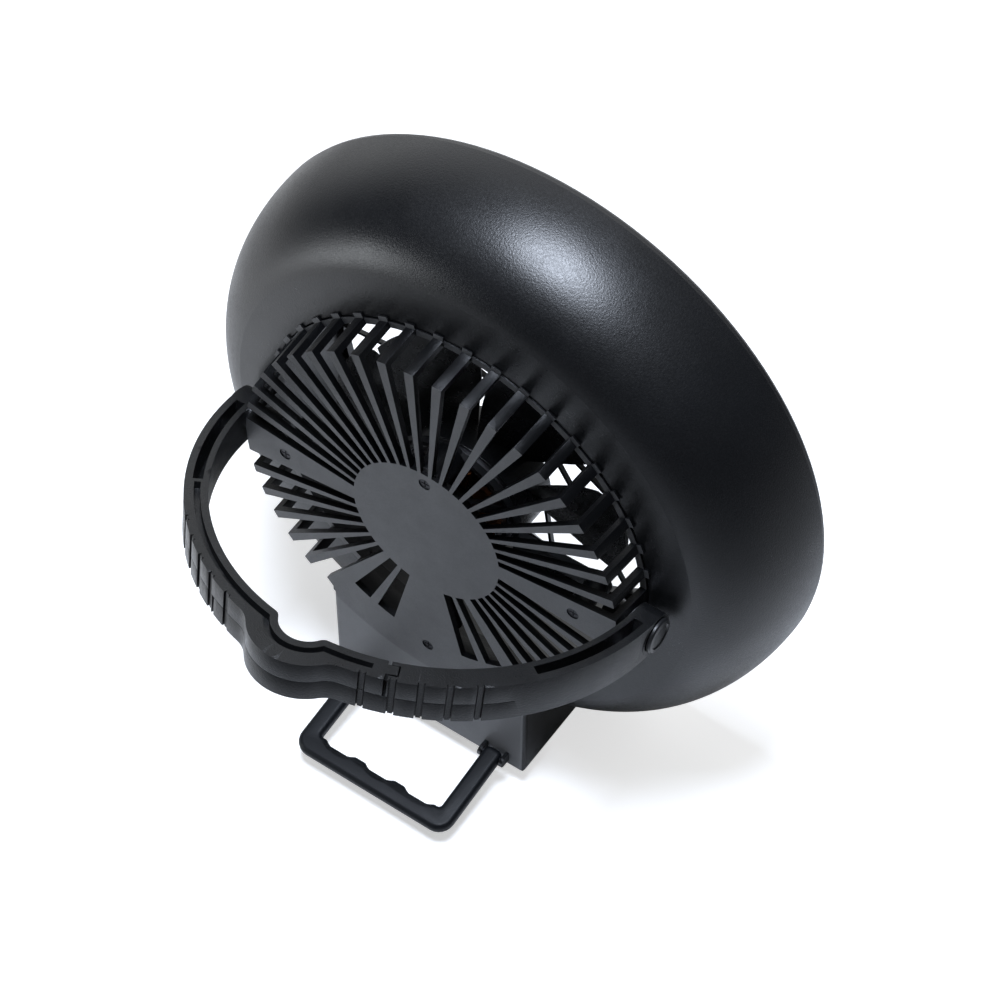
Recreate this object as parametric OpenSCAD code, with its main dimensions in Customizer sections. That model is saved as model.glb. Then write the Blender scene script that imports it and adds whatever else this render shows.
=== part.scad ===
// Portable camping fan: a wide ring-light shell with a rear basket grille, a carrying
// bail in two interlocking arms, a battery base and a folding D-shaped stand.
// Origin: centre of the base's underside, on the ground. +Z up, -Y to the front.

/* [Fan ring] */
// Outer diameter of the ring
ring_d = 300; // [298:0.5:302]
// Gap between the ring's lowest point and the ground
ring_gap = 1.4; // [1.2:0.1:3]
// Diameter of the rear hole of the ring
hole_d = 198.4; // [198:0.1:198.8]
// Depth of the rear hole's edge in front of the grille face
basket_depth = 21.8; // [21.5:0.1:22.2]
// Wall of the moulded shells
wall = 2.4; // [2:0.1:2.8]

/* [Rear grille] */
// Diameter of the grille at its bend
bend_d = 194.6; // [194:0.1:195.2]
// Diameter of the plain disc at the centre
disc_d = 76.6; // [74:0.2:79]
// Angle between neighbouring ribs, in degrees
rib_pitch = 8.18; // [8.1:0.01:8.25]
// Angle that one rib covers, in degrees
rib_angle = 2.7; // [2.2:0.1:3.2]
// Half angle of the wide side spokes, in degrees
spoke_angle = 6.3; // [6:0.1:6.6]
// Thickness of the grille moulding
grille_t = 3; // [2.6:0.1:3.4]

/* [Bail] */
// Inner radius of the bail about its pivot axis
bail_r = 99.8; // [99.6:0.1:100.2]
// Width of the bail band, along its radius
bail_band = 10.5; // [10:0.1:11]
// Height of the bail band
bail_h = 19.6; // [18.6:0.2:19.6]
// Angle of the bail above the horizontal at rest
bail_rest = 10; // [6:1:14]
// Depth of the pivot axis in front of the grille face
pivot_depth = 11; // [10.9:0.1:11.1]
// Radius of the pivot screw's shoulder
pivot_r = 4; // [3.6:0.1:4.4]

/* [Base] */
// Width of the base
base_w = 107; // [105:0.5:108]
// Depth of the base, and of the whole fan ring
base_d = 84; // [84:0.5:85]
// Chamfer round the bottom of the base
base_chamfer = 9.2; // [8:0.2:10]
// Thickness of the anti-slip pad
pad_t = 1.5; // [1.2:0.1:2]

/* [Stand] */
// Outer width of the stand handle
stand_w = 87; // [85:0.2:87]
// Width of one arm of the stand handle
stand_arm = 9.4; // [9:0.1:9.6]
// Length of the stand handle from its pivot
stand_l = 46.1; // [44:0.1:48]
// Thickness of the stand handle
stand_t = 6.4; // [6:0.1:6.4]
// Angle of the stand below the horizontal at rest
stand_droop = 8.5; // [7:0.5:9]

/* [Fan] */
// Radius of the fan blades
blade_r = 77; // [75:0.5:80]
// Radius of the fan hub
hub_r = 31.5; // [31:0.5:32.5]
// Radius of the motor shaft
shaft_r = 2.5; // [2.2:0.1:2.8]

/* [Hidden] */

gap = 0.3;          // clearance between neighbouring mouldings
fit = 0.06;         // radial clearance of a running fit

// ---- places ----
ring_r = ring_d / 2;
axis_h = ring_r + ring_gap;      // height of the fan axis
rear_y = base_d / 2;             // the grille face
front_d = base_d;                // depth of the front face, measured from the grille face
hole_r = hole_d / 2;
bend_r = bend_d / 2;
disc_r = disc_d / 2;

// Draws its children about the fan axis: x stays x, y is up and z is the depth in front
// of the grille face.
module on_axis() { translate([0, rear_y, axis_h]) rotate([90, 0, 0]) children(); }

// A point at radius r and angle a, as a 2D vector.
function polar(r, a) = [r * cos(a), r * sin(a)];

// ---- ring shell ----
dish_r = 114.86;                 // centre of the quarter ellipse, radius
dish_d = 78.5;                   // and depth
dish_a = ring_r - dish_r;        // its half axes
dish_b = 55.24;
crease_t = 7.5;                  // where the flat rear ring meets the ellipse
shell_steps = 26;
function dish(t, inset) = [dish_r + (dish_a - inset) * sin(t), dish_d - (dish_b - inset) * cos(t)];
function dish_row(inset) = [for (i = [0 : shell_steps])
    dish(crease_t + (90 - crease_t) * i / shell_steps, inset)];
function reversed(list) = [for (i = [len(list) - 1 : -1 : 0]) list[i]];
flange_t = 1.8;                  // collar round the rear hole
flange_d = 30;

// notch through the ring for the base
module base_notch(top_r, d0, d1) {
    translate([-base_w / 2 - gap, -ring_r - 10, d0])
        cube([base_w + 2 * gap, ring_r + 10 - top_r, d1 - d0]);
}

post_r = 3.6;                    // screw posts behind the light ring
post_ring = 113.5;
post_foot = basket_depth + 2.8;
post_top = 75.9;
neck_top = 83.5;                 // the shell's notch for the base starts this far below the axis
post_angles = [for (i = [0 : 6]) -30 + 40 * i];

module rear_shell() {
    color("#1b1c1f") on_axis() difference() {
        union() {
            rotate_extrude($fn = 180) polygon(concat(
                [[hole_r, basket_depth]], dish_row(0),
                reversed(dish_row(wall)),
                [[hole_r + flange_t, basket_depth + wall], [hole_r + flange_t, flange_d],
                 [hole_r, flange_d]]));
            for (a = post_angles) rotate(a) translate([post_ring, 0, post_foot])
                cylinder(r = post_r, h = post_top - post_foot, $fn = 32);
        }
        base_notch(neck_top, basket_depth - 2, front_d);
        for (a = post_angles) rotate(a) translate([post_ring, 0, post_top - 14])
            cylinder(r = 1.2, h = 15, $fn = 24);
    }
}

// ---- front bezel with the air duct ----
duct_back = [101.3, 26];
mouth_r = 107;
light_in = 108.8;
light_out = 118.2;
channel_d = 78;
bezel_back = 76.2;
notch_r = 118.8;                 // the bezel is whole down to this radius

module front_bezel() {
    color("#1d1e21") on_axis() difference() {
        rotate_extrude($fn = 180) polygon([
            duct_back, [mouth_r, front_d], [light_in, front_d], [light_in, channel_d],
            [light_out, channel_d], [light_out, front_d - 2.4], [129, front_d - 1.9],
            [143.5, front_d], [146.2, front_d - 0.4], [148.4, front_d - 1.7],
            [149.6, front_d - 3.4], [ring_r, dish_d + 0.02], [ring_r - wall - 0.2, dish_d + 0.02],
            [ring_r - wall - 0.2, 75], [146, 75], [146, 80.3], [144.6, 81.7], [129, 79.6],
            [120.2, 79.4], [119.4, bezel_back], [duct_back[0] + 7.2, bezel_back],
            [duct_back[0] + 2, duct_back[1]]]);
        base_notch(notch_r, bezel_back - 2, front_d + 2);
        for (a = post_angles) rotate(a) translate([post_ring, 0, bezel_back - 1]) {
            cylinder(r = 1.35, h = 4, $fn = 24);
            translate([0, 0, 1.8]) cylinder(r = 2.8, h = 2, $fn = 24);
        }
    }
}

module ring_screws() {
    color("silver") on_axis() for (a = post_angles) rotate(a)
        translate([post_ring, 0, 0]) {
            translate([0, 0, bezel_back + 0.85]) cylinder(r = 2.6, h = 0.9, $fn = 24);
            translate([0, 0, post_top - 10]) cylinder(r = 1.15, h = 12, $fn = 24);
        }
}

board_t = 1.2;
module led_board() {
    color("#e9e9e2") on_axis() translate([0, 0, channel_d + 0.05]) difference() {
        cylinder(r = light_out - 0.5, h = board_t, $fn = 120);
        translate([0, 0, -1]) cylinder(r = light_in + 0.5, h = board_t + 2, $fn = 120);
    }
}

chips = 48;
chip_w = 2.8;
module led_chips() {
    color("#f4e6a0") on_axis() for (i = [0 : chips - 1])
        rotate(i * 360 / chips)
            translate([post_ring - chip_w / 2, -chip_w / 2, channel_d + 0.05 + board_t])
                cube([chip_w, chip_w, 0.8]);
}

diffuser_d = 80.6;
module led_diffuser() {
    color("#f2f3f0") on_axis() rotate_extrude($fn = 160) polygon([
        [light_in + 0.15, diffuser_d], [light_out - 0.15, diffuser_d],
        [light_out - 0.15, front_d - 1.6], [light_out - 2.2, front_d - 0.6],
        [post_ring, front_d - 0.2], [light_in + 1.6, front_d - 0.4],
        [light_in + 0.15, front_d - 1.2]]);
}

// ---- rear grille and rear wall of the base ----
leg_r = 98.9;                    // outside of the ribs' legs where they meet the shell
leg_t = 3.2;                     // legs, along the radius
collar_top = 21.2;
collar_bottom = 27;
collar_t = 1.7;
tab_r = 101.3;                   // small tabs that lie on the shell's rear ring
tab_t = 0.9;
top_ribs = 10;                   // narrow ribs on each side of the top
low_slots = 6;                   // open slots below each wide spoke
wide_slot = 7.1;                 // the two closed slots above the base, in degrees
wide_slot_from = [58.7, 69.1];   // where they start, below the horizontal
wide_slot_r = 78.2;
wall_top = 80;                   // the base's rear wall starts this far below the axis

screw_places = [[0, 32], [75.9, 0], [-75.9, 0], [0, -82.6]];
boss_radii = [8.3, 5.2, 5.2, 5.2];
boss_end = 18;
screw_r = 1.5;
head_r = 2.9;

// slot between the angles a0 and a1, cut square at the disc
module slot(a0, a1, r1) {
    mid = (a0 + a1) / 2;
    half = (a1 - a0) / 2;
    start = disc_r / cos(half);
    polygon([polar(start, a0), polar(r1, a0), polar(r1 / cos(half), mid), polar(r1, a1),
             polar(start, a1)]);
}

module grille_slots(r_open) {
    top_first = 90 - rib_pitch / 2;                    // centre of the rib beside the top
    last_rib = top_first - (top_ribs - 1) * rib_pitch;
    slot(90 - rib_pitch / 2 + rib_angle / 2, 90 + rib_pitch / 2 - rib_angle / 2, r_open);
    for (side = [0, 1]) mirror([side, 0]) {
        for (i = [1 : top_ribs - 1])
            slot(top_first - i * rib_pitch + rib_angle / 2,
                 top_first - (i - 1) * rib_pitch - rib_angle / 2, r_open);
        slot(spoke_angle, last_rib - rib_angle / 2, r_open);
        for (i = [0 : low_slots - 1])
            slot(-spoke_angle - (i + 1) * rib_pitch + rib_angle, -spoke_angle - i * rib_pitch,
                 r_open);
        for (a = wide_slot_from) slot(-a - wide_slot, -a, wide_slot_r);
        // room beside the base, below the last open slot
        polygon([polar(93, -50), [56.9, -74.7], [base_w / 2, -78.7], [base_w / 2, -130],
                 [80, -130], polar(105, -50)]);
    }
}

module base_plan(inset, corner) {
    w = base_w / 2 - inset - corner;
    d = base_d / 2 - inset - corner;
    for (sx = [-1, 1]) for (sy = [-1, 1]) translate([sx * w, sy * d]) circle(r = corner, $fn = 48);
    square([2 * w + 2 * corner, 2 * d], center = true);
    square([2 * w, 2 * d + 2 * corner], center = true);
}

// outer form of the base, drawn in from every face by inset
module base_form(inset) {
    top = axis_h;
    low = pad_t + inset;
    c = base_chamfer - inset * 0.59;
    w = base_w / 2 - inset;
    d = base_d / 2 - inset;
    intersection() {
        linear_extrude(top) base_plan(inset, 2 - inset * 0.5);
        rotate([90, 0, 0]) linear_extrude(2 * base_d, center = true)
            polygon([[-w, top], [-w, low + c], [-w + c, low], [w - c, low], [w, low + c], [w, top]]);
        rotate([90, 0, 90]) linear_extrude(2 * base_w, center = true)
            polygon([[-d, top], [-d, low + c], [-d + c, low], [d - c, low], [d, low + c], [d, top]]);
    }
}

// part of the base between two depths in front of the grille face
module base_slice(inset, d0, d1) {
    intersection() {
        base_form(inset);
        translate([-base_w, rear_y - d1, 0]) cube([2 * base_w, d1 - d0, 2 * axis_h]);
    }
}

lug_r = 2.7;
stand_y = rear_y + 4;            // pivot axis of the stand
stand_z = 16.7;
pin_r = 1.5;
arm_mid = stand_w / 2 - stand_arm / 2;
lug_t = 1.8;
lug_gap = 0.35;

module stand_lugs() {
    for (s = [-1, 1]) for (side = [-1, 1])
        translate([s * arm_mid + side * (stand_arm / 2 + lug_gap + lug_t / 2), 0, 0])
            difference() {
                translate([-lug_t / 2, 0, 0]) {
                    translate([0, rear_y - 1, stand_z - lug_r]) cube([lug_t, 5, 2 * lug_r]);
                    translate([0, stand_y, stand_z]) rotate([0, 90, 0])
                        cylinder(r = lug_r, h = lug_t, $fn = 40);
                }
                translate([-lug_t, stand_y, stand_z]) rotate([0, 90, 0])
                    cylinder(r = pin_r + 0.02, h = 2 * lug_t, $fn = 40);
            }
}

module pivot_axis_x(x0, x1, r) {
    translate([x0, 0, pivot_depth]) rotate([0, 90, 0]) cylinder(r = r, h = x1 - x0, $fn = 64);
}

boss_face = 98.4;                // outer face of the pivot boss
washer_r = 7.2;
module rear_grille() {
    color("#2b2c2f") difference() {
        union() {
            on_axis() difference() {
                union() {
                    difference() {
                        rotate_extrude($fn = 180) polygon([
                            [0, 0], [bend_r, 0], [leg_r, collar_top],
                            [leg_r, collar_bottom], [leg_r - collar_t, collar_bottom],
                            [leg_r - collar_t, collar_top + 0.4], [leg_r - leg_t, collar_top],
                            [bend_r - leg_t, grille_t], [0, grille_t]]);
                        translate([0, 0, -1]) linear_extrude(collar_top + 1)
                            grille_slots(hole_r + 10);
                    }
                    // tabs at the legs' ends
                    difference() {
                        translate([0, 0, basket_depth - tab_t - 0.05]) difference() {
                            cylinder(r = tab_r, h = tab_t, $fn = 120);
                            translate([0, 0, -1]) cylinder(r = leg_r - 1, h = 3, $fn = 120);
                        }
                        translate([0, 0, basket_depth - 2]) linear_extrude(3) {
                            grille_slots(hole_r + 10);
                            translate([-hole_r * 1.1, -hole_r * 1.1])
                                square([hole_r * 2.2, hole_r * 1.1 + 14]);
                        }
                    }
                    for (i = [0 : 3])
                        translate([screw_places[i][0], screw_places[i][1], grille_t - 1])
                            cylinder(r = boss_radii[i], h = boss_end - grille_t + 1, $fn = 40);
                    for (s = [0, 1]) mirror([s, 0]) pivot_axis_x(86, boss_face, 6.5);
                }
                for (p = screw_places) translate([p[0], p[1], -1]) {
                    cylinder(r = screw_r + 0.05, h = boss_end + 2, $fn = 32);
                    cylinder(r = head_r + 0.1, h = 2.4, $fn = 32);
                }
                for (s = [0, 1]) mirror([s, 0]) {
                    pivot_axis_x(85, boss_face + 1, 2.05);
                    pivot_axis_x(boss_face, boss_face + 1, washer_r + 0.3);
                }
            }
            // rear wall of the base, open where the grille's slots are
            difference() {
                base_slice(0, 0, grille_t);
                on_axis() {
                    cylinder(r = bend_r - 0.5, h = 4 * grille_t, center = true, $fn = 180);
                    translate([0, 0, grille_t / 2]) cube([base_w + 2, 2 * wall_top, 2 * grille_t],
                                                         center = true);
                }
            }
            stand_lugs();
        }
        lead_hole(-90, 14);
    }
}

module grille_screws() {
    color("#101012") on_axis() for (p = screw_places) translate([p[0], p[1], 0]) difference() {
        union() {
            translate([0, 0, 0.5]) cylinder(r = head_r, h = 0.9, $fn = 32);
            translate([0, 0, 1]) cylinder(r = screw_r, h = mount_d + mount_t - 1, $fn = 32);
        }
        for (a = [0, 90]) rotate(a) translate([-2, -0.35, 0.4]) cube([4, 0.7, 0.6]);
    }
}

// ---- front grille ----
front_back = 79;
grille_front = 83;
front_spokes = 15;
front_first = 21;                // angle of the first spoke
module front_grille() {
    color("#1d1e21") on_axis() {
        rotate_extrude($fn = 120)
            polygon([[103.4, front_back], [mouth_r - 0.6, front_back], [mouth_r - 0.35, grille_front],
                     [103.4, grille_front]]);
        translate([0, 0, front_back]) cylinder(r = 22, h = grille_front - front_back, $fn = 72);
        for (i = [0 : front_spokes - 1]) rotate(front_first + i * 360 / front_spokes)
            translate([21, -0.8, front_back + 1.4]) cube([83.5, 1.6, 2.2]);
    }
}

module front_cap() {
    color("#3a3b3f") on_axis() rotate_extrude($fn = 72)
        polygon([[0, grille_front + 0.02], [19, grille_front + 0.02], [19, front_d - 0.5],
                 [17, front_d], [0, front_d]]);
}

// ---- motor ----
mount_d = 18;
mount_t = 3.4;
mount_r = 36;
bearing_r = 6.5;
bearing_wall = 1.9;
stator_from = 24.5;
stator_to = 33.5;
stator_r = 25.4;
teeth = 9;
can_r = 28.6;
can_from = 23;
can_to = 40;

// bar from the axis out to the point p
module strut(p, w, t) {
    rotate(atan2(p[1], p[0])) translate([0, -w / 2, 0]) cube([norm(p), w, t]);
}

module motor_mount() {
    color("#26272a") on_axis() difference() {
        union() {
            translate([0, 0, mount_d]) difference() {
                union() {
                    cylinder(r = mount_r, h = mount_t, $fn = 96);
                    for (p = screw_places) translate([p[0], p[1], 0])
                        cylinder(r = 6, h = mount_t, $fn = 40);
                    for (p = [screw_places[1], screw_places[2], screw_places[3]])
                        strut(p, 9, mount_t);
                }
                difference() {
                    translate([0, 0, -1]) cylinder(r = mount_r - 2.4, h = mount_t + 2, $fn = 96);
                    translate([0, 0, -2]) cylinder(r = 12, h = mount_t + 4, $fn = 48);
                    for (a = [0 : 60 : 120]) rotate(a + 30) translate([-mount_r, -2.2, -2])
                        cube([2 * mount_r, 4.4, mount_t + 4]);
                }
            }
            translate([0, 0, mount_d]) cylinder(r = bearing_r + bearing_wall, h = 19, $fn = 48);
        }
        translate([0, 0, mount_d - 1]) cylinder(r = bearing_r, h = 21, $fn = 48);
        for (p = screw_places) translate([p[0], p[1], mount_d - 1])
            cylinder(r = screw_r + 0.05, h = mount_t + 2, $fn = 32);
    }
}

module motor_bearings() {
    color("silver") on_axis() for (d = [18.4, 31.6]) translate([0, 0, d]) difference() {
        cylinder(r = bearing_r - 0.02, h = 5, $fn = 48);
        translate([0, 0, -1]) cylinder(r = shaft_r + fit, h = 7, $fn = 48);
    }
}

module stator_core() {
    color("#77787c") on_axis() translate([0, 0, stator_from]) difference() {
        cylinder(r = stator_r, h = stator_to - stator_from, $fn = 90);
        translate([0, 0, -1]) cylinder(r = bearing_r + bearing_wall + 0.02, h = 20, $fn = 48);
        for (i = [0 : teeth - 1]) rotate(i * 360 / teeth) translate([0, 0, -1]) linear_extrude(20)
            polygon([polar(12, -9), polar(23.4, -15.5), polar(23.4, -3), polar(27, -2.4),
                     polar(27, 2.4), polar(23.4, 3), polar(23.4, 15.5), polar(12, 9)]);
    }
}

module stator_winding() {
    color("#b3662d") on_axis() for (i = [0 : teeth - 1]) rotate((i + 0.5) * 360 / teeth)
        for (d = [20.6, stator_to + 0.05]) translate([13, -3.6, d + (d < stator_from ? 1 : 0)])
            cube([9.6, 7.2, 2.8]);
}

// lead from the motor, beside the lower strut, into the base
lead_r = 1.6;
lead_x = 7.6;
lead_d = 16.2;
lead_low = -118;
module lead_hole(from, long) {
    on_axis() translate([lead_x, from, lead_d]) rotate([90, 0, 0])
        cylinder(r = lead_r + 0.3, h = long, $fn = 32);
}
module motor_lead() {
    route = [[lead_x, -14, lead_d], [lead_x, lead_low, lead_d], [lead_x, lead_low, panel_d - 13]];
    color("#202124") on_axis() for (i = [0 : len(route) - 2]) {
        from = route[i];
        step = route[i + 1] - from;
        long = norm(step);
        translate(from) sphere(r = lead_r, $fn = 24);
        translate(from) rotate([step[2] == 0 ? 90 : 0, 0, 0]) cylinder(r = lead_r, h = long, $fn = 24);
        translate(route[i + 1]) sphere(r = lead_r, $fn = 24);
    }
}

module motor_can() {
    color("#8d8f93") on_axis() difference() {
        translate([0, 0, can_from]) cylinder(r = can_r, h = can_to - can_from, $fn = 96);
        translate([0, 0, can_from - 1]) cylinder(r = can_r - 1.6, h = can_to - can_from - 1, $fn = 96);
        translate([0, 0, can_from]) cylinder(r = shaft_r, h = 40, $fn = 48);
    }
}

module rotor_magnets() {
    color("#3d3e42") on_axis() translate([0, 0, stator_from]) difference() {
        cylinder(r = can_r - 1.62, h = 10, $fn = 96);
        translate([0, 0, -1]) cylinder(r = can_r - 2.8, h = 12, $fn = 96);
    }
}

module motor_shaft() {
    color("silver") on_axis() translate([0, 0, 18.6]) cylinder(r = shaft_r, h = 30, $fn = 48);
}

module hub_nut() {
    color("silver") on_axis() translate([0, 0, 43.6]) difference() {
        cylinder(r = 5, h = 4, $fn = 6);
        translate([0, 0, -1]) cylinder(r = shaft_r, h = 6, $fn = 48);
    }
}

// ---- fan blades: cambered surfaces between the hub and the tip ----
blades = 7;
blade_mid = 38;                  // depth of the blades' middle
blade_first = 117;               // angle of the first blade
blade_rows = 7;
blade_cols = 6;
blade_t = 1.9;
hub_from = 27;
hub_long = 23;
// s runs from the trailing edge (-1) to the leading edge (1), f from the hub to the tip
function blade_half(f) = 20 + 2.8 * sin(150 * f);
blade_root = hub_r - 1.2;
function tip_round(f, s) = 24 * max(0, f - 0.75) * s * s * (s > 0 ? 1 : 0.6);
function blade_r_at(f, s) = blade_root + (blade_r - blade_root) * f - tip_round(f, s);
function blade_depth(f, s) = blade_mid + (5 - 2.6 * f) * s + 2.2 * (1 - s * s);
function blade_pt(f, s, side) =
    let (a = blade_first + blade_half(f) * s + 3 * f, r = blade_r_at(f, s),
         t = blade_t / 2 * (1.25 - 0.6 * abs(s)) * side)
    [r * cos(a), r * sin(a), blade_depth(f, s) + t];
function blade_grid(side) = [for (i = [0 : blade_rows]) for (j = [0 : blade_cols])
    blade_pt(i / blade_rows, -1 + 2 * j / blade_cols, side)];
blade_n = (blade_rows + 1) * (blade_cols + 1);
function at(i, j, top) = i * (blade_cols + 1) + j + (top ? blade_n : 0);
// four corners of one patch, from the patch's first corner onwards
function patch(i, j, di, dj, top) =
    [at(i, j, top), at(i + di, j, top), at(i + di, j + dj, top), at(i, j + dj, top)];
function strip(i, j, di, dj) =
    [at(i, j, false), at(i + di, j + dj, false), at(i + di, j + dj, true), at(i, j, true)];
function turned(q) = [q[0], q[3], q[2], q[1]];
blade_quads = concat(
    [for (i = [0 : blade_rows - 1]) for (j = [0 : blade_cols - 1]) patch(i, j, 1, 1, false)],
    [for (i = [0 : blade_rows - 1]) for (j = [0 : blade_cols - 1]) turned(patch(i, j, 1, 1, true))],
    [for (j = [0 : blade_cols - 1]) strip(0, j, 0, 1)],
    [for (j = [0 : blade_cols - 1]) turned(strip(blade_rows, j, 0, 1))],
    [for (i = [0 : blade_rows - 1]) turned(strip(i, 0, 1, 0))],
    [for (i = [0 : blade_rows - 1]) strip(i, blade_cols, 1, 0)]);
blade_faces = [for (q = blade_quads) each [[q[0], q[1], q[2]], [q[0], q[2], q[3]]]];

module fan_rotor() {
    color("#34363a") on_axis() {
        difference() {
            union() {
                translate([0, 0, hub_from]) cylinder(r = hub_r, h = hub_long, $fn = 96);
                translate([0, 0, hub_from + hub_long])
                    cylinder(r1 = hub_r, r2 = hub_r - 4, h = 3, $fn = 96);
            }
            translate([0, 0, hub_from - 1])
                cylinder(r = can_r + 0.02, h = can_to - hub_from + 1.02, $fn = 96);
            translate([0, 0, 30]) cylinder(r = shaft_r, h = 40, $fn = 48);
            translate([0, 0, 43.5]) cylinder(r = hub_r - 6, h = 25, $fn = 96);
        }
        for (i = [0 : blades - 1]) rotate(i * 360 / blades)
            polyhedron(concat(blade_grid(-1), blade_grid(1)), blade_faces, convexity = 4);
    }
}

// ---- base ----
neck_r = 99.7;                   // roof of the base behind the shell's rear hole
roof_r = 110.6;                  // and under the air duct
panel_d = 80;                    // the control panel starts at this depth
panel_top = axis_h - notch_r - 0.3;

module under_ring(r_neck, r_roof) {
    on_axis() {
        translate([0, 0, -10]) cylinder(r = r_neck, h = 40, $fn = 160);
        translate([0, 0, basket_depth + wall + 0.4]) cylinder(r = r_roof, h = front_d, $fn = 160);
    }
}

corner_posts = [for (s = [-1, 1]) [s * 47.6, 26.4]];
module base_housing() {
    color("#202124") difference() {
        union() {
            difference() {
                base_slice(0, grille_t + 0.02, panel_d - 0.02);
                difference() {
                    base_slice(wall, -1, base_d);
                    under_ring(neck_r + wall, roof_r + wall);
                }
            }
            for (p = corner_posts) translate([p[0], rear_y - panel_d + 0.02, p[1]])
                rotate([-90, 0, 0]) cylinder(r = 4, h = 16, $fn = 32);
        }
        under_ring(neck_r, roof_r);
        // the bezel and the light ring pass over the front of the base
        translate([-base_w, -base_d, panel_top])
            cube([2 * base_w, base_d + rear_y - bezel_back + gap, axis_h]);
        lead_hole(-97, 8);
        for (p = corner_posts) translate([p[0], rear_y - panel_d, p[1]]) rotate([-90, 0, 0])
            cylinder(r = 1.25, h = 14, $fn = 24);
    }
}

pad_w = 80;
pad_l = 58;
module base_pad() {
    color("#17181a") linear_extrude(pad_t) {
        for (sx = [-1, 1]) for (sy = [-1, 1])
            translate([sx * (pad_w / 2 - 6), sy * (pad_l / 2 - 6)]) circle(r = 6, $fn = 48);
        square([pad_w, pad_l - 12], center = true);
        square([pad_w - 12, pad_l], center = true);
    }
}

// three cells side by side, lying across the base
cell_r = 9.2;
cell_l = 65;
cell_pitch = 19;
cell_z = pad_t + wall + 1.6 + cell_r;
cell_y = [for (i = [-1 : 1]) i * cell_pitch + 2.5];
module battery_cells() {
    color("#3f6fb0") for (y = cell_y) translate([-cell_l / 2, y, cell_z]) rotate([0, 90, 0])
        difference() {
            union() {
                cylinder(r = cell_r, h = cell_l, $fn = 64);
                cylinder(r = 3.2, h = cell_l + 1.4, $fn = 40);
            }
            translate([0, 0, 2]) difference() {
                cylinder(r = cell_r + 1, h = 0.9, $fn = 64);
                cylinder(r = cell_r - 0.5, h = 0.9, $fn = 64);
            }
        }
}

module battery_tray() {
    tray_w = cell_l + 8;
    tray_l = 3 * cell_pitch + 0.6;
    color("#2f3034") difference() {
        translate([-tray_w / 2, cell_y[1] - tray_l / 2, pad_t + wall + 0.02])
            cube([tray_w, tray_l, cell_r]);
        for (y = cell_y) translate([-cell_l / 2 - 1, y, cell_z]) rotate([0, 90, 0])
            cylinder(r = cell_r + 0.05, h = cell_l + 3.4, $fn = 64);
    }
}

// ---- controls ----
knob_at = [0, 21.5];
button_at = [-29, 21.5];
port_at = [31, 21.5];
lens_at = [for (i = [0 : 3]) [-14.5, 15.5 + 4 * i]];
knob_r = 8.6;
button_r = 5;
button_travel = 1.2;

// places its children at a point of the control panel; z is the depth
module on_panel(p) { translate([p[0], rear_y, p[1]]) rotate([90, 0, 0]) children(); }

cover_w = 16;
cover_h = 11;
cover_t = 1.6;
hinge_z = -6.4;                  // hinge of the cover, below the port's middle
hinge_d = front_d + 1.1;
hinge_pin_r = 0.5;

module control_panel() {
    color("#222326") {
        difference() {
            intersection() {
                base_slice(0, panel_d, front_d);
                translate([-base_w, -base_d, 0]) cube([2 * base_w, 2 * base_d, panel_top]);
            }
            on_panel(knob_at) translate([0, 0, panel_d - 1]) {
                cylinder(r = 3.1, h = 8, $fn = 48);
                translate([0, 0, 3.4]) cylinder(r = knob_r + 0.6, h = 3, $fn = 64);
            }
            on_panel(button_at) translate([0, 0, panel_d - 1])
                cylinder(r = button_r + fit, h = 8, $fn = 48);
            for (p = lens_at) on_panel(p) translate([0, 0, panel_d - 1])
                cylinder(r = 1.2, h = 8, $fn = 24);
            on_panel(port_at) translate([-5, -2, panel_d - 1]) cube([10, 4, 8]);
            for (p = corner_posts) on_panel(p) translate([0, 0, panel_d - 1]) {
                cylinder(r = 1.35, h = 8, $fn = 24);
                translate([0, 0, 3.2]) cylinder(r = 2.6, h = 3, $fn = 24);
            }
        }
        // lugs for the cover's hinge
        for (s = [-1, 1]) on_panel(port_at)
            translate([s * (cover_w / 2 - 2.6) - 0.8, hinge_z, hinge_d]) difference() {
                union() {
                    translate([0, -1.2, -1.6]) cube([1.6, 2.4, 1.6]);
                    rotate([0, 90, 0]) cylinder(r = 1.2, h = 1.6, $fn = 32);
                }
                translate([-1, 0, 0]) rotate([0, 90, 0])
                    cylinder(r = hinge_pin_r + 0.05, h = 4, $fn = 32);
            }
    }
}

module panel_screws() {
    color("#101012") for (p = corner_posts) on_panel(p) difference() {
        union() {
            translate([0, 0, panel_d + 2.25]) cylinder(r = 2.5, h = 1, $fn = 24);
            translate([0, 0, panel_d - 11]) cylinder(r = 1.2, h = 14, $fn = 24);
        }
        for (a = [0, 90]) rotate(a) translate([-1.6, -0.3, panel_d + 2.7]) cube([3.2, 0.6, 1]);
    }
}

module port_cover() {
    color("#161719") on_panel(port_at) {
        translate([-cover_w / 2, hinge_z + 1.5, front_d + gap]) cube([cover_w, cover_h, cover_t]);
        translate([-3.6, hinge_z, front_d + gap]) cube([7.2, 2, cover_t]);
        translate([-3.6, hinge_z, hinge_d]) rotate([0, 90, 0]) cylinder(r = 0.8, h = 7.2, $fn = 32);
        translate([-cover_w / 2 + 1.4, hinge_z, hinge_d]) rotate([0, 90, 0])
            cylinder(r = hinge_pin_r, h = cover_w - 2.8, $fn = 32);
    }
}

module charge_socket() {
    color("#9a9ca1") on_panel(port_at) difference() {
        translate([-4.6, -1.7, panel_d - 7.2]) cube([9.2, 3.4, 7.4 + 2]);
        translate([-3.9, -1.0, panel_d - 5]) cube([7.8, 2, 8]);
    }
}

module indicator_lens() {
    color("#cfe6d2") for (p = lens_at) on_panel(p) translate([0, 0, panel_d - 1])
        cylinder(r = 1.15, h = front_d - panel_d + 1, $fn = 24);
}

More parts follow.
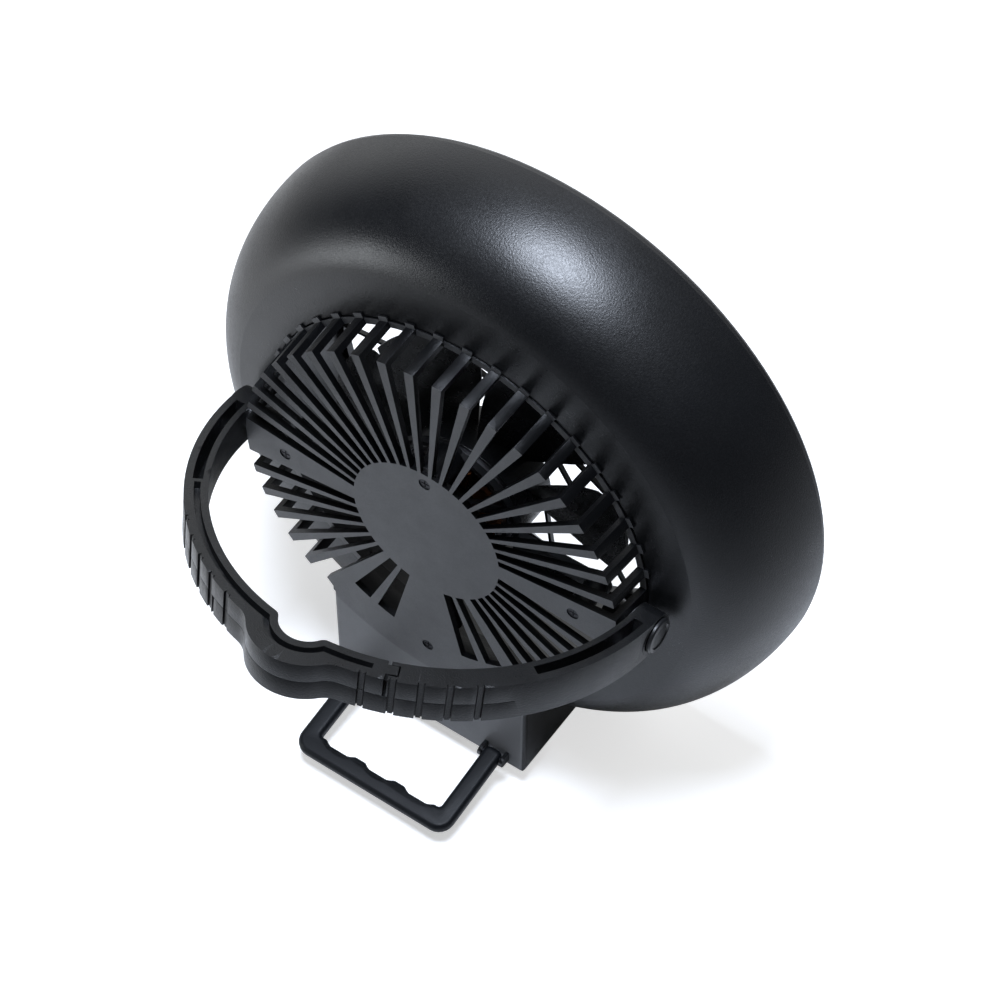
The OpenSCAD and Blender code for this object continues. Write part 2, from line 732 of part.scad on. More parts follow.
module speed_knob() {
    color("#2a2b2e") on_panel(knob_at) difference() {
        union() {
            translate([0, 0, front_d - 1.2]) cylinder(r = knob_r, h = 7, $fn = 72);
            translate([0, 0, panel_d - 6]) cylinder(r = 3.1 - fit, h = front_d - panel_d + 5.5, $fn = 48);
        }
        for (i = [0 : 23]) rotate(i * 15) translate([knob_r + 0.4, 0, front_d - 0.2])
            cylinder(r = 0.9, h = 8, $fn = 20);
        translate([-0.5, 3, front_d + 5.2]) cube([1, 5, 2]);
    }
}

module speed_control() {
    color("#4a4c50") on_panel(knob_at) difference() {
        translate([-7, -6, panel_d - 9.6]) cube([14, 12, 8]);
        translate([0, 0, panel_d - 7]) cylinder(r = 3.1, h = 8, $fn = 48);
    }
}

module light_button() {
    color("#2a2b2e") on_panel(button_at) {
        translate([0, 0, panel_d - 1.2]) cylinder(r = button_r, h = front_d - panel_d + 3, $fn = 48);
        translate([0, 0, panel_d - 1.2]) cylinder(r = button_r + 1.2, h = 0.9, $fn = 48);
    }
}

module light_switch() {
    color("#4a4c50") on_panel(button_at) {
        translate([-4, -4, panel_d - 9.6]) cube([8, 8, 4]);
        translate([0, 0, panel_d - 6]) cylinder(r = 1.8, h = 3.2, $fn = 32);
    }
}

module control_board() {
    color("#1f6b42") on_panel([0, 21.5])
        translate([-40, -7, panel_d - 11.3]) cube([80, 14, 1.6]);
}

// ---- bail ----
bail_out = bail_r + bail_band;
half_h = bail_h / 2;
notch_in = 12.1;                 // hanging notch: inner circle
notch_in_s = 94.9;
notch_out = 24.3;                // and outer bulge
notch_out_s = 96.4;
lip_r = 4;                       // roundings beside the notch, inside
blend_r = 12;                    // and outside
split_a = 22.8;                  // the arms interlock up to this angle from the middle
end_a = 0.8;                     // gap between the halves' ends, as an angle
half_gap = 0.15;
groove_angles = [18.2, 24.8, 30.8, 36.9, 43.3];
groove_w = 3.2;
groove_depth = 0.7;
groove_line = [0.6, 1.5];        // width and depth of the lines at a groove's edges
seam_to = 51;                    // the parting line runs on to this angle
recess_r = [102.4, 106.9];       // recess in the top face of each arm
recess_from = 56.2;              // angles from the middle of the bail
recess_to = 86.2;
recess_depth = 14;
channel_in = 3.4;                // narrow groove that follows the inner edge
channel_w = 2.8;
channel_from = -19.7;
channel_to = 55.2;
channel_depth = 4;
tongue_r = [101.9, 106.9];
tongue_a = 25.4;
tongue_low = 5.6;
reach = 300;                     // beyond any point of the bail

// Draws its children in the bail's own frame: x across, y along the arms and z up, with
// the origin on the pivot axis.
module on_bail() {
    translate([0, rear_y - pivot_depth, axis_h]) rotate([bail_rest, 0, 0]) children();
}

// where a circle of radius ra about the origin meets one of radius rb about [0, s]
function meet(ra, s, rb) = let (y = (ra * ra - rb * rb + s * s) / (2 * s)) [sqrt(ra * ra - y * y), y];
function toward(c, p, r) = c + (p - c) * (r / norm(p - c));

// the corner between those two circles, as far as a rounding of radius r takes it
module corner(ra, s, rb, r) {
    c = meet(ra + r, s, rb + r);
    difference() {
        polygon([toward([0, 0], c, ra), c, toward([0, s], c, rb), meet(ra, s, rb) * 0.985]);
        translate(c) circle(r = r, $fn = 48);
    }
}

// plan of the whole band, from its pivots round to the hanging notch
module band_plan() {
    difference() {
        union() {
            intersection() {
                circle(r = bail_out, $fn = 200);
                translate([-200, 0]) square([400, 200]);
            }
            translate([0, notch_out_s]) circle(r = notch_out, $fn = 72);
            for (m = [0, 1]) mirror([m, 0]) corner(bail_out, notch_out_s, notch_out, blend_r);
        }
        circle(r = bail_r, $fn = 200);
        translate([0, notch_in_s]) circle(r = notch_in, $fn = 72);
        for (m = [0, 1]) mirror([m, 0]) corner(bail_r, notch_in_s, notch_in, lip_r);
    }
}

// everything from the angle a (measured from the middle of the bail) round to the +x pivot
module wedge(a) {
    polygon([[0, 0], polar(reach, 90 - a), polar(reach, 40), polar(reach, -10), polar(reach, -45)]);
}
module wedge_block(a, z0, z1) { translate([0, 0, z0]) linear_extrude(z1 - z0) wedge(a); }

module inside_notch(edge) {
    circle(r = bail_r + edge, $fn = 200);
    translate([0, notch_in_s]) circle(r = notch_in + edge, $fn = 72);
}
module channel_plan() {
    intersection() {
        difference() {
            inside_notch(channel_in + channel_w);
            inside_notch(channel_in);
        }
        polygon([[0, 0], polar(reach, 90 - channel_from), polar(reach, 60),
                 polar(reach, 90 - channel_to)]);
    }
}

module ring_sector(r, a0, a1) {
    // a0 and a1 are measured from the middle of the bail towards +x
    n = 24;
    polygon(concat([for (i = [0 : n]) let (a = 90 - a0 - (a1 - a0) * i / n) polar(r[0], a)],
                   [for (i = [n : -1 : 0]) let (a = 90 - a0 - (a1 - a0) * i / n) polar(r[1], a)]));
}

// grip grooves across the outer face, each with a deeper line at both edges
module grip_grooves() {
    w = groove_line[0];
    for (a = groove_angles) rotate(90 - a) {
        translate([bail_out - groove_depth, -groove_w / 2, -half_h - 1])
            cube([8, groove_w, bail_h + 2]);
        for (y = [-groove_w / 2, groove_w / 2 - w])
            translate([bail_out - groove_line[1], y, -half_h - 1]) cube([8, w, bail_h + 2]);
    }
}

// parting line at half height, from the halves' ends outwards
module side_seam() {
    translate([0, 0, -half_gap]) linear_extrude(2 * half_gap)
        ring_sector([bail_out - 0.5, bail_out + 2], split_a + 0.1, seam_to);
}

module arm_end() {
    // round end about the pivot, with the bore and the outer pocket for the screw's head
    intersection() {
        rotate([0, 90, 0]) cylinder(r = half_h, h = bail_out, $fn = 72);
        translate([bail_r, -half_h - 1, -half_h - 1]) cube([bail_band, bail_h + 2, bail_h + 2]);
    }
}

head_from = 107.7;
module arm_bore() {
    rotate([0, 90, 0]) cylinder(r = pivot_r + fit, h = bail_out + 5, $fn = 72);
    translate([head_from, 0, 0]) rotate([0, 90, 0]) cylinder(r = 6.6, h = 10, $fn = 72);
}

bail_screw_a = 83.6;             // small screws in the recess ends, angle from the middle
bail_screw_r = 1.9;
module arm_recess() {
    translate([0, 0, half_h - recess_depth]) linear_extrude(recess_depth + 1)
        ring_sector(recess_r, recess_from, recess_to);
}

// left arm: whole at the +x side, and the upper half across the middle
module bail_arm_left() {
    color("#232427") on_bail() difference() {
        union() {
            difference() {
                union() {
                    intersection() {
                        translate([0, 0, -half_h]) linear_extrude(bail_h) band_plan();
                        union() {
                            wedge_block(split_a + end_a, -half_h, half_h);
                            wedge_block(-split_a, half_gap, half_h);
                        }
                    }
                    arm_end();
                }
                grip_grooves();
                mirror([1, 0, 0]) grip_grooves();
                side_seam();
            }
            // latch tongue, which drops into the other arm's notch
            translate([0, 0, tongue_low]) linear_extrude(half_h - tongue_low)
                ring_sector(tongue_r, -tongue_a, -split_a + 2);
        }
        arm_bore();
        arm_recess();
        translate([0, 0, half_h - channel_depth]) linear_extrude(channel_depth + 1) channel_plan();
    }
}

// right arm: whole at the -x side, and the lower half across the middle
module bail_arm_right() {
    color("#232427") on_bail() mirror([1, 0, 0]) difference() {
        union() {
            intersection() {
                translate([0, 0, -half_h]) linear_extrude(bail_h) band_plan();
                union() {
                    wedge_block(split_a + end_a, -half_h, half_h);
                    wedge_block(-split_a, -half_h, -half_gap);
                }
            }
            arm_end();
        }
        arm_bore();
        arm_recess();
        grip_grooves();
        mirror([1, 0, 0]) grip_grooves();
        side_seam();
        translate([0, 0, tongue_low - 0.4]) linear_extrude(half_h)
            ring_sector([tongue_r[0] - 0.3, tongue_r[1] + 0.8], split_a - 1, tongue_a + 0.4);
    }
}

module bail_screw() {
    rotate(90 - bail_screw_a)
        translate([(recess_r[0] + recess_r[1]) / 2, 0, half_h - recess_depth + 0.01]) difference() {
            cylinder(r = bail_screw_r, h = 1.8, $fn = 32);
            for (a = [0, 90]) rotate(a) translate([-1.2, -0.25, 1.2]) cube([2.4, 0.5, 1]);
        }
}
module bail_screws_left() { color("silver") on_bail() bail_screw(); }
module bail_screws_right() { color("silver") on_bail() mirror([1, 0, 0]) bail_screw(); }

module pivot_screws() {
    color("silver") on_axis() for (s = [0, 1]) mirror([s, 0]) {
        pivot_axis_x(87, boss_face + 0.1, 2);
        pivot_axis_x(boss_face + 0.02, 108, pivot_r);
        pivot_axis_x(107.95, 110.2, 6.2);
    }
}

module pivot_washers() {
    color("silver") on_axis() for (s = [0, 1]) mirror([s, 0]) difference() {
        pivot_axis_x(boss_face + 0.02, 99.5, washer_r);
        pivot_axis_x(boss_face - 1, 101, pivot_r + 0.02);
    }
}

module pivot_caps() {
    color("#2c2d30") on_axis() for (s = [0, 1]) mirror([s, 0])
        translate([110.62, 0, pivot_depth]) rotate([0, 90, 0]) rotate_extrude($fn = 72)
            polygon([[0, -0.4], [5.8, -0.4], [5.8, 0], [8.3, 0], [8.3, 0.9], [7.6, 1.6], [6.2, 1.8],
                     [5.8, 1.2], [0, 1.2]]);
}

// ---- stand ----
finger_pitch = 22.5;
finger_r = 15;
finger_depth = 2.6;
bar_w = 10.9;                    // the handle's bar between two finger hollows
corner_out = 8;
corner_in = 2.6;

module rounded_square(x0, x1, y0, y1, r) {
    translate([x0, y0]) square([x1 - x0, y1 - y0 - r]);
    translate([x0 + r, y0]) square([x1 - x0 - 2 * r, y1 - y0]);
    for (x = [x0 + r, x1 - r]) translate([x, y1 - r]) circle(r = r, $fn = 48);
}

module stand_plan() {
    inner_l = stand_l - bar_w;
    inner_w = stand_w / 2 - stand_arm;
    difference() {
        rounded_square(-stand_w / 2, stand_w / 2, 0, stand_l, corner_out);
        rounded_square(-inner_w, inner_w, -1, inner_l, corner_in);
        intersection() {
            for (i = [-1 : 1]) translate([i * finger_pitch, inner_l + finger_depth - finger_r])
                circle(r = finger_r, $fn = 72);
            translate([-inner_w + corner_in, inner_l - 1])
                square([2 * (inner_w - corner_in), 2 * finger_depth]);
        }
    }
}

module stand_handle() {
    color("#1e2125") translate([0, stand_y, stand_z]) rotate([-stand_droop, 0, 0]) difference() {
        union() {
            translate([0, 0, -stand_t / 2]) linear_extrude(stand_t) stand_plan();
            for (s = [-1, 1]) translate([s * arm_mid - stand_arm / 2, 0, 0]) rotate([0, 90, 0])
                cylinder(r = stand_t / 2, h = stand_arm, $fn = 48);
        }
        translate([-stand_w / 2 - 1, 0, 0]) rotate([0, 90, 0])
            cylinder(r = pin_r + fit, h = stand_w + 2, $fn = 48);
    }
}

module stand_pins() {
    color("silver") for (s = [-1, 1])
        translate([s * arm_mid - stand_arm / 2 - lug_gap - lug_t, stand_y, stand_z]) rotate([0, 90, 0])
            cylinder(r = pin_r, h = stand_arm + 2 * (lug_gap + lug_t), $fn = 48);
}

rear_shell();
front_bezel();
led_diffuser();
led_board();
led_chips();
ring_screws();
rear_grille();
grille_screws();
front_grille();
front_cap();
motor_mount();
motor_bearings();
stator_core();
stator_winding();
motor_lead();
fan_rotor();
motor_can();
rotor_magnets();
motor_shaft();
hub_nut();
base_housing();
base_pad();
battery_tray();
battery_cells();
control_panel();
panel_screws();
control_board();
speed_control();
speed_knob();
light_switch();
light_button();
indicator_lens();
charge_socket();
port_cover();
pivot_screws();
pivot_washers();
pivot_caps();
bail_arm_left();
bail_arm_right();
bail_screws_left();
bail_screws_right();
stand_pins();
stand_handle();
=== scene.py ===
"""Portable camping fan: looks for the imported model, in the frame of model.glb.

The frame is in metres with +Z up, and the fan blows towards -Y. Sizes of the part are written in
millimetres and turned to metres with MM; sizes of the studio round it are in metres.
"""
import math

import bmesh
import bpy
from mathutils import Matrix, Vector


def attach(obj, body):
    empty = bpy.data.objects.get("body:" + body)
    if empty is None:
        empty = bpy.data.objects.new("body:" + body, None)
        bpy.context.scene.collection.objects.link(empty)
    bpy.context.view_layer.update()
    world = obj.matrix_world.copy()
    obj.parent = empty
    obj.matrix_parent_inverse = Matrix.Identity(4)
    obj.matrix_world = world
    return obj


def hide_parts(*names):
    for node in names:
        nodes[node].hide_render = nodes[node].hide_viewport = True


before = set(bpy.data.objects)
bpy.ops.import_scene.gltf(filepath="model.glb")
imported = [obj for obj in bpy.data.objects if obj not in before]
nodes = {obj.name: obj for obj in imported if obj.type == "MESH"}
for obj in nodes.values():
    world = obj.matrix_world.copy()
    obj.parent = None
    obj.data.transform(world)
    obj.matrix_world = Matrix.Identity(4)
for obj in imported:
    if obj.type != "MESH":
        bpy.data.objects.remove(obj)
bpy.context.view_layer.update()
MM = 0.001
REAR_Y = 42.0     # the rear face of the grille
AXIS_H = 151.4    # height of the fan's axis


# ---------------------------------------------------------------- shader nodes
def ramp(tree, source, stops):
    """A colour ramp fed by source, with (position, grey or colour) stops."""
    node = tree.nodes.new("ShaderNodeValToRGB")
    elements = node.color_ramp.elements
    while len(elements) < len(stops):
        elements.new(0.5)
    for element, (place, value) in zip(elements, stops):
        element.position = place
        if not isinstance(value, tuple):
            value = (value, value, value)
        element.color = (*value, 1.0)
    tree.links.new(source, node.inputs["Fac"])
    return node.outputs["Color"]


def between(tree, source, span, first, second):
    """First where source is below the span, second where it is above, and a blend inside it."""
    return ramp(tree, source, [(span[0], first), (span[1], second)])


def compute(tree, operation, *sources):
    """A maths node; each source is a node's output or a number."""
    node = tree.nodes.new("ShaderNodeMath")
    node.operation = operation
    for socket, source in zip(node.inputs, sources):
        if isinstance(source, float):
            socket.default_value = source
        else:
            tree.links.new(source, socket)
    return node.outputs[0]


def object_place(tree):
    """Where the shaded point is in its object's space."""
    return tree.nodes.new("ShaderNodeTexCoord").outputs["Object"]


def vector_length(tree, vector):
    node = tree.nodes.new("ShaderNodeVectorMath")
    node.operation = "LENGTH"
    tree.links.new(vector, node.inputs[0])
    return node.outputs["Value"]


def vector_parts(tree, vector):
    """The X, Y and Z outputs of a vector."""
    node = tree.nodes.new("ShaderNodeSeparateXYZ")
    tree.links.new(vector, node.inputs["Vector"])
    return node.outputs


def noise(tree, scale, detail=4.0, rough=0.55, stretch=None):
    """Noise in object space; scale is in cells per metre."""
    source = object_place(tree)
    if stretch:
        mapping = tree.nodes.new("ShaderNodeMapping")
        mapping.inputs["Scale"].default_value = stretch
        tree.links.new(source, mapping.inputs["Vector"])
        source = mapping.outputs["Vector"]
    node = tree.nodes.new("ShaderNodeTexNoise")
    node.inputs["Scale"].default_value = scale
    node.inputs["Detail"].default_value = detail
    node.inputs["Roughness"].default_value = rough
    tree.links.new(source, node.inputs["Vector"])
    return node.outputs["Fac"]


def bump(tree, height, strength, distance):
    """A surface normal for the height; distance is the relief's depth in metres."""
    node = tree.nodes.new("ShaderNodeBump")
    node.inputs["Strength"].default_value = strength
    node.inputs["Distance"].default_value = distance
    tree.links.new(height, node.inputs["Height"])
    return node.outputs["Normal"]


def blended(tree, factor, first, second):
    """First where the factor is 0, second where it is 1; both are colour outputs."""
    node = tree.nodes.new("ShaderNodeMix")
    node.data_type = "RGBA"
    sockets = {socket.identifier: socket for socket in [*node.inputs, *node.outputs]}
    tree.links.new(factor, sockets["Factor_Float"])
    tree.links.new(first, sockets["A_Color"])
    tree.links.new(second, sockets["B_Color"])
    return sockets["Result_Color"]


# ---------------------------------------------------------------- kinds of material
TINT_SPAN = (0.35, 0.7)      # the noise values between which a colour changes
GLOSS_SPAN = (0.3, 0.72)     # and those between which a gloss does
EDGE_SPAN = (0.80, 0.94)     # a normal's Y where a face stops being a side, with its painted shade, and counts as the rear
TAB_SPAN = (99.1, 99.5)      # radius outside which the grille's small tabs lie, with a painted highlight
TAB_UNIT = 5.0               # scales that radius, in metres, to fit a ramp's 0 to 1


def new_material(name):
    """A material with its node tree and the inputs of its shader."""
    mat = bpy.data.materials.new(name)
    mat.use_nodes = True
    tree = mat.node_tree
    return mat, tree, tree.nodes["Principled BSDF"].inputs


def speckled(tree, value, scale, amount):
    """The value plus fine speckles that run from nothing to twice the amount."""
    specks = between(tree, noise(tree, scale, detail=2.0), (0.3, 0.7), 0.0, 2 * amount)
    return compute(tree, "ADD", specks, value)


def plastic(name, dark, light, rough, grain=1500.0, depth=0.00004, patch=18.0, spec=0.5, spread=0.06,
            speck=0.0):
    """Moulded plastic: fine grain, and faint blotches and specks in colour and gloss."""
    mat, tree, inputs = new_material(name)
    inputs["Specular IOR Level"].default_value = spec
    tint = between(tree, noise(tree, patch, detail=5.0), TINT_SPAN, dark, light)
    gloss = between(tree, noise(tree, patch * 2.3, detail=6.0, rough=0.65), GLOSS_SPAN,
                    rough - spread - speck, rough + spread - speck)
    if speck:
        gloss = speckled(tree, gloss, grain * 0.8, speck)
    tree.links.new(tint, inputs["Base Color"])
    tree.links.new(gloss, inputs["Roughness"])
    tree.links.new(bump(tree, noise(tree, grain, detail=3.0), 0.8, depth), inputs["Normal"])
    return mat


def metal(name, dark, light, rough, stretch=None, depth=0.00002):
    """Worn metal, with a grain that may be stretched into lines."""
    mat, tree, inputs = new_material(name)
    inputs["Metallic"].default_value = 1.0
    tint = between(tree, noise(tree, 60.0, detail=5.0), (0.3, 0.75), dark, light)
    gloss = between(tree, noise(tree, 140.0), (0.3, 0.7), rough * 0.8, rough * 1.25)
    grain = noise(tree, 900.0, detail=3.0, rough=0.6, stretch=stretch)
    tree.links.new(tint, inputs["Base Color"])
    tree.links.new(gloss, inputs["Roughness"])
    tree.links.new(bump(tree, grain, 0.5, depth), inputs["Normal"])
    return mat


def painted_tab_highlight_mask(tree):
    """1 on the small tabs outside the grille's ribs, where a highlight is painted, 0 elsewhere."""
    from_axis = tree.nodes.new("ShaderNodeVectorMath")
    from_axis.operation = "MULTIPLY_ADD"
    from_axis.inputs[1].default_value = (TAB_UNIT, 0.0, TAB_UNIT)
    from_axis.inputs[2].default_value = (0.0, 0.0, -TAB_UNIT * AXIS_H * MM)
    tree.links.new(object_place(tree), from_axis.inputs[0])
    radius = vector_length(tree, from_axis.outputs["Vector"])
    return between(tree, radius, [r * MM * TAB_UNIT for r in TAB_SPAN], 0.0, 1.0)


def shade_painted_plastic(name, rear, sides, tabs, rough, spec=(0.5, 0.4)):
    """Grained plastic on the faces that look to the rear; all the others are smooth and painted darker as
    shade.

    rear and sides are each a darker and a lighter colour, tabs is one colour or None, painted on the
    tabs as a highlight, and rough and spec are each a value for the rear and one for the sides.
    """
    mat, tree, inputs = new_material(name)
    geometry = tree.nodes.new("ShaderNodeNewGeometry")
    rearward = vector_parts(tree, geometry.outputs["True Normal"])["Y"]
    facing = between(tree, rearward, EDGE_SPAN, 0.0, 1.0)
    tone = noise(tree, 1300.0, detail=3.0)
    face = between(tree, tone, TINT_SPAN, *rear)
    # painted shade: the faces that don't look to the rear get the sides' darker colours
    side = between(tree, tone, TINT_SPAN, *sides)
    # painted highlight: the tabs get a paler colour than the rear faces round them
    if tabs:
        face = blended(tree, painted_tab_highlight_mask(tree), face, between(tree, tone, TINT_SPAN, tabs, tabs))
    gloss = noise(tree, 92.0, detail=6.0, rough=0.65)
    fine = between(tree, gloss, GLOSS_SPAN, rough[0] - 0.06, rough[0] + 0.06)
    smooth = between(tree, tone, GLOSS_SPAN, rough[1] - 0.04, rough[1] + 0.04)
    tree.links.new(blended(tree, facing, side, face), inputs["Base Color"])
    tree.links.new(blended(tree, facing, smooth, fine), inputs["Roughness"])
    tree.links.new(between(tree, rearward, EDGE_SPAN, spec[1], spec[0]), inputs["Specular IOR Level"])
    tree.links.new(bump(tree, noise(tree, 2000.0, detail=3.0), 0.8, 0.00018), inputs["Normal"])
    return mat


# ---------------------------------------------------------------- the fan's materials
DARK_GREY = ((0.054, 0.0545, 0.056), (0.068, 0.0685, 0.070))

materials = {
    "shell": plastic("shell_satin_black", (0.0045, 0.0048, 0.0055), (0.0062, 0.0066, 0.0076), 0.34,
                     grain=1250.0, depth=0.00011, patch=14.0, spread=0.04, speck=0.05),
    # painted shade: the grille's sides take the near-black pair of colours
    "grille": shade_painted_plastic("grille_dark_grey", DARK_GREY, ((0.0022, 0.0023, 0.0027), (0.0034, 0.0036, 0.0041)),
                        # painted highlight on the tabs, then the roughness and spec pairs
                        (0.10, 0.101, 0.104), (0.46, 0.32), (0.5, 0.17)),
    # painted shade: the base's sides take the near-black pair of colours
    "base": shade_painted_plastic("base_dark_grey", DARK_GREY, ((0.0035, 0.0037, 0.0042), (0.0055, 0.0058, 0.0065)),
                      None, (0.46, 0.36)),
    "bail": plastic("bail_grained_black", (0.0026, 0.0028, 0.0032), (0.0042, 0.0044, 0.005), 0.36,
                    depth=0.00025, patch=30.0, speck=0.05),
    "stand": plastic("stand_soft_black", (0.0024, 0.0032, 0.0044), (0.0036, 0.0044, 0.0058), 0.46,
                     grain=1800.0, depth=0.00008, patch=30.0, spec=0.2),
    "rotor": plastic("rotor_black", (0.004, 0.0042, 0.0047), (0.006, 0.0062, 0.0068), 0.26,
                     patch=25.0, depth=0.00002),
    "inner": plastic("inner_black", (0.004, 0.0042, 0.0047), (0.0065, 0.0067, 0.0072), 0.34,
                     patch=25.0, depth=0.00003),
    "knob": plastic("knob_satin_black", (0.012, 0.012, 0.013), (0.02, 0.02, 0.021), 0.34),
    "white": plastic("diffuser_white", (0.74, 0.75, 0.73), (0.80, 0.80, 0.78), 0.42, depth=0.00001),
    "lens": plastic("lens_green", (0.22, 0.42, 0.26), (0.28, 0.50, 0.32), 0.2, depth=0.00001),
    "rubber": plastic("pad_rubber", (0.012, 0.012, 0.013), (0.02, 0.02, 0.021), 0.8, spec=0.3),
    "lead": plastic("lead_rubber", (0.012, 0.012, 0.013), (0.018, 0.018, 0.02), 0.5),
    "cell": plastic("cell_sleeve", (0.03, 0.12, 0.36), (0.04, 0.15, 0.42), 0.28, depth=0.00001),
    "tray": plastic("tray_black", (0.02, 0.02, 0.022), (0.03, 0.03, 0.032), 0.55),
    "board": plastic("board_green", (0.012, 0.10, 0.045), (0.018, 0.14, 0.06), 0.35, patch=120.0),
    "board_white": plastic("board_white", (0.66, 0.66, 0.62), (0.74, 0.74, 0.70), 0.4),
    "chip": plastic("chip_yellow", (0.72, 0.55, 0.12), (0.84, 0.68, 0.18), 0.3),
    "part": plastic("part_black", (0.03, 0.03, 0.033), (0.045, 0.045, 0.05), 0.5),
    "steel": metal("screw_steel", (0.42, 0.42, 0.43), (0.60, 0.60, 0.62), 0.32),
    "black_steel": metal("screw_black", (0.03, 0.03, 0.032), (0.06, 0.06, 0.065), 0.42),
    "laminated": metal("laminated_steel", (0.14, 0.14, 0.145), (0.24, 0.24, 0.25), 0.5,
                       stretch=(1, 30, 1), depth=0.0001),
    "can": metal("can_steel", (0.25, 0.25, 0.26), (0.40, 0.40, 0.42), 0.34),
    "magnet": metal("magnet_black", (0.05, 0.05, 0.055), (0.09, 0.09, 0.1), 0.5),
    "copper": metal("copper_wire", (0.50, 0.17, 0.06), (0.72, 0.30, 0.12), 0.34,
                    stretch=(1, 1, 14), depth=0.0003),
    "socket": metal("socket_steel", (0.45, 0.45, 0.47), (0.62, 0.62, 0.65), 0.25),
}

MATERIAL_NODES = {
    "shell": ["rear_shell", "front_bezel"],
    "grille": ["rear_grille"],
    "base": ["base_housing", "control_panel"],
    "bail": ["bail_arm_left", "bail_arm_right"],
    "stand": ["stand_handle"],
    "rotor": ["fan_rotor"],
    "inner": ["front_grille", "motor_mount"],
    "knob": ["front_cap", "speed_knob", "light_button", "pivot_caps"],
    "white": ["led_diffuser"],
    "lens": ["indicator_lens"],
    "rubber": ["base_pad", "port_cover"],
    "lead": ["motor_lead"],
    "cell": ["battery_cells"],
    "tray": ["battery_tray"],
    "board": ["control_board"],
    "board_white": ["led_board"],
    "chip": ["led_chips"],
    "part": ["speed_control", "light_switch"],
    "steel": ["ring_screws", "motor_bearings", "motor_shaft", "hub_nut", "pivot_screws", "pivot_washers",
              "bail_screws_left", "bail_screws_right"],
    "black_steel": ["grille_screws", "panel_screws", "stand_pins"],
    "laminated": ["stator_core"],
    "can": ["motor_can"],
    "magnet": ["rotor_magnets"],
    "copper": ["stator_winding"],
    "socket": ["charge_socket"],
}
for material_key, node_names in MATERIAL_NODES.items():
    for node_name in node_names:
        data = nodes[node_name].data
        data.materials.clear()
        data.materials.append(materials[material_key])


# ---------------------------------------------------------------- mesh tools
def shade(obj, sharp_angle):
    """Smooth shading, with sharp edges where faces meet at more than the angle."""
    for face in obj.data.polygons:
        face.use_smooth = True
    obj.data.set_sharp_from_angle(angle=math.radians(sharp_angle))


def place_mesh(name, bm):
    """A new object in the scene with the mesh bm, whose faces are turned to look outwards."""
    mesh = bpy.data.meshes.new(name)
    bmesh.ops.recalc_face_normals(bm, faces=bm.faces)
    bm.to_mesh(mesh)
    bm.free()
    obj = bpy.data.objects.new(name, mesh)
    bpy.context.scene.collection.objects.link(obj)
    return obj


def add_object(name, bm, material, sharp_angle=35.0):
    obj = place_mesh(name, bm)
    obj.data.materials.append(material)
    shade(obj, sharp_angle)
    return obj


def fan_axis(x, y, depth):
    """A point given about the fan's axis (x, up, depth in front of the grille), in the frame."""
    return Vector((x * MM, (REAR_Y - depth) * MM, (AXIS_H + y) * MM))


def lathe(bm, profile, steps):
    """Revolves a closed (radius, depth) profile about the fan's axis."""
    rings = []
    for i in range(steps):
        a = 2 * math.pi * i / steps
        rings.append([bm.verts.new(fan_axis(r * math.cos(a), r * math.sin(a), d)) for r, d in profile])
    count = len(profile)
    for i in range(steps):
        near, far = rings[i], rings[(i + 1) % steps]
        for j in range(count):
            k = (j + 1) % count
            bm.faces.new((near[j], near[k], far[k], far[j]))


def rounded(points, radii, steps):
    """Replaces each corner of a closed outline by an arc of its radius."""
    result = []
    count = len(points)
    for i, (point, radius) in enumerate(zip(points, radii)):
        p = Vector(point)
        if radius <= 0:
            result.append(tuple(p))
            continue
        u = Vector(points[i - 1]) - p
        v = Vector(points[(i + 1) % count]) - p
        angle = u.angle(v)
        reach = min(radius / math.tan(angle / 2), 0.48 * u.length, 0.48 * v.length)
        radius = reach * math.tan(angle / 2)
        u.normalize()
        v.normalize()
        middle = p + (u + v).normalized() * (radius / math.sin(angle / 2))
        start, end = p + u * reach - middle, p + v * reach - middle
        turn = start.angle_signed(end)
        for step in range(steps + 1):
            a = -turn * step / steps
            result.append((middle.x + start.x * math.cos(a) - start.y * math.sin(a),
                           middle.y + start.x * math.sin(a) + start.y * math.cos(a)))
    return result


def inward(points, distance):
    """The closed outline moved towards its inside, corner by corner."""
    count = len(points)
    area = sum(points[i - 1].cross(points[i]) for i in range(count))
    side = 1.0 if area > 0 else -1.0
    result = []
    for i, point in enumerate(points):
        before = (point - points[i - 1]).normalized()
        after = (points[(i + 1) % count] - point).normalized()
        first, second = Vector((-before.y, before.x)), Vector((-after.y, after.x))
        result.append(point + (first + second) * (side * distance / (1 + first.dot(second))))
    return result


def apply_modifiers(obj):
    graph = bpy.context.evaluated_depsgraph_get()
    mesh = bpy.data.meshes.new_from_object(obj.evaluated_get(graph))
    old = obj.data
    obj.modifiers.clear()
    obj.data = mesh
    bpy.data.meshes.remove(old)


def cut(obj, bm, sharp_angle):
    """Takes the closed mesh bm away from obj and shades the result."""
    tool = place_mesh("cutter", bm)
    modifier = obj.modifiers.new("cut", "BOOLEAN")
    modifier.operation = "DIFFERENCE"
    modifier.solver = "EXACT"
    modifier.object = tool
    apply_modifiers(obj)
    bpy.data.meshes.remove(tool.data)
    shade(obj, sharp_angle)


def edge_round(node_name, width):
    """Rounds the edges of a CAD node with modifiers, so that its own mesh stays."""
    obj = nodes[node_name]
    weld = obj.modifiers.new("weld", "WELD")
    weld.merge_threshold = 0.002 * MM
    bevel = obj.modifiers.new("bevel", "BEVEL")
    bevel.width = width * MM
    bevel.segments = 2
    bevel.limit_method = "ANGLE"
    bevel.angle_limit = math.radians(40.0)
    bevel.use_clamp_overlap = True


